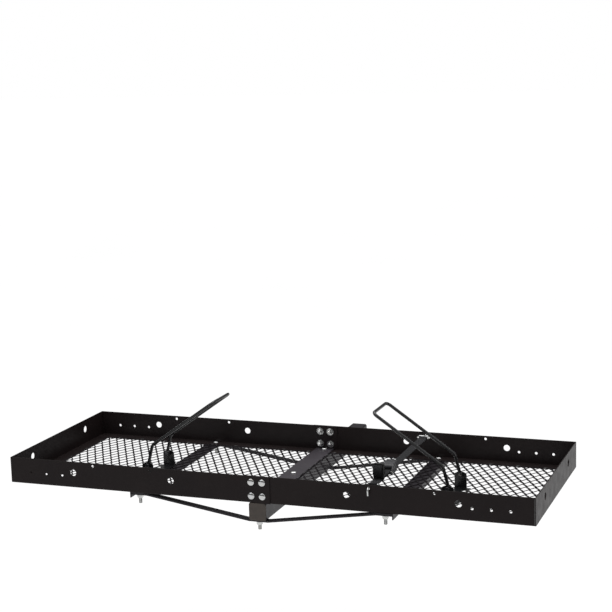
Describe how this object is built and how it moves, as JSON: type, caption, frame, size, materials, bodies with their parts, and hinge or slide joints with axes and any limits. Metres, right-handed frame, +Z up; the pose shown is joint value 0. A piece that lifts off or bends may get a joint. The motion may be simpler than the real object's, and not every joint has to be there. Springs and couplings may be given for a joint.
{
  "type": "hitch mounted bike rack",
  "caption": "Flat two-piece steel tray with a mesh floor on a square hitch shank, with two folding wheel hoops and a cam-buckle strap.",
  "frame": {"origin": "centre of the hitch pin hole in the square shank", "axes": "+X along the tray's length and the pin's axis, +Y along the shank towards the vehicle, +Z up"},
  "size_m": [1.524, 0.8894, 0.3185],
  "materials": {
    "frame_paint": "black powder coat, satin, fine orange-peel",
    "mesh_paint": "black powder coat over expanded steel",
    "support_paint": "black powder coat, satin",
    "cap_plastic": "moulded plastic, matt",
    "hoop_paint": "black paint, semi-gloss",
    "zinc": "bright zinc plate",
    "black_zinc": "black zinc plate",
    "webbing": "black woven polyester webbing",
    "rubber_band": "black elastic keeper",
    "buckle_steel": "dark grey coated steel"
  },
  "bodies": {
    "tray": {"near_rail_left": "frame_paint", "far_rail_left": "frame_paint", "near_rail_right": "frame_paint", "far_rail_right": "frame_paint", "end_rail_left": "frame_paint", "end_rail_right": "frame_paint", "mesh_floor_left": "mesh_paint", "mesh_floor_right": "mesh_paint", "shank_tube": "support_paint", "cross_member_left": "support_paint", "cross_member_right": "support_paint", "brace_near": "support_paint", "brace_far": "support_paint", "centre_strip": "support_paint", "shank_end_cap": "cap_plastic", "splice_bolts_near": "zinc", "splice_bolts_far": "zinc", "splice_washers_near": "zinc", "splice_washers_far": "zinc", "splice_nuts_near": "zinc", "splice_nuts_far": "zinc", "brace_bolts": "zinc", "brace_washers": "zinc", "brace_nuts": "zinc", "shank_bolts": "zinc", "shank_washers": "zinc", "shank_nuts": "zinc", "hoop_base_left": "hoop_paint", "hoop_clamp_plate_left": "hoop_paint", "hoop_pivot_bolts_left": "black_zinc", "hoop_pivot_nuts_left": "black_zinc", "hoop_base_bolts_left": "zinc", "hoop_base_nuts_left": "zinc", "hoop_base_right": "hoop_paint", "hoop_clamp_plate_right": "hoop_paint", "hoop_pivot_bolts_right": "black_zinc", "hoop_pivot_nuts_right": "black_zinc", "hoop_base_bolts_right": "zinc", "hoop_base_nuts_right": "zinc", "strap_short_end": "webbing", "strap_long_end": "webbing", "strap_roll": "webbing", "strap_keeper": "rubber_band", "strap_hook_near": "zinc", "strap_hook_far": "zinc", "cam_buckle_pins": "zinc", "cam_buckle_body": "buckle_steel"},
    "hoop_left": {"wheel_hoop_left": "hoop_paint"},
    "hoop_right": {"wheel_hoop_right": "hoop_paint"},
    "cam_lever": {"cam_buckle_lever": "buckle_steel"}
  },
  "joints": [
    {"name": "hoop_left_fold", "type": "hinge", "parent": "tray", "child": "hoop_left", "pos_m": [-0.386, -0.624, 0.067], "axis": [0, -1, 0], "range_deg": [-30, 120]},
    {"name": "hoop_right_fold", "type": "hinge", "parent": "tray", "child": "hoop_right", "pos_m": [0.499, -0.624, 0.067], "axis": [0, 1, 0], "range_deg": [-30, 120]},
    {"name": "cam_lever_open", "type": "hinge", "parent": "tray", "child": "cam_lever", "pos_m": [0.318, -0.636, 0.1027], "axis": [1, 0, 0], "range_deg": [0, 60], "stiffness_Nm_per_rad": 0.05, "springref_deg": -28.65}
  ]
}
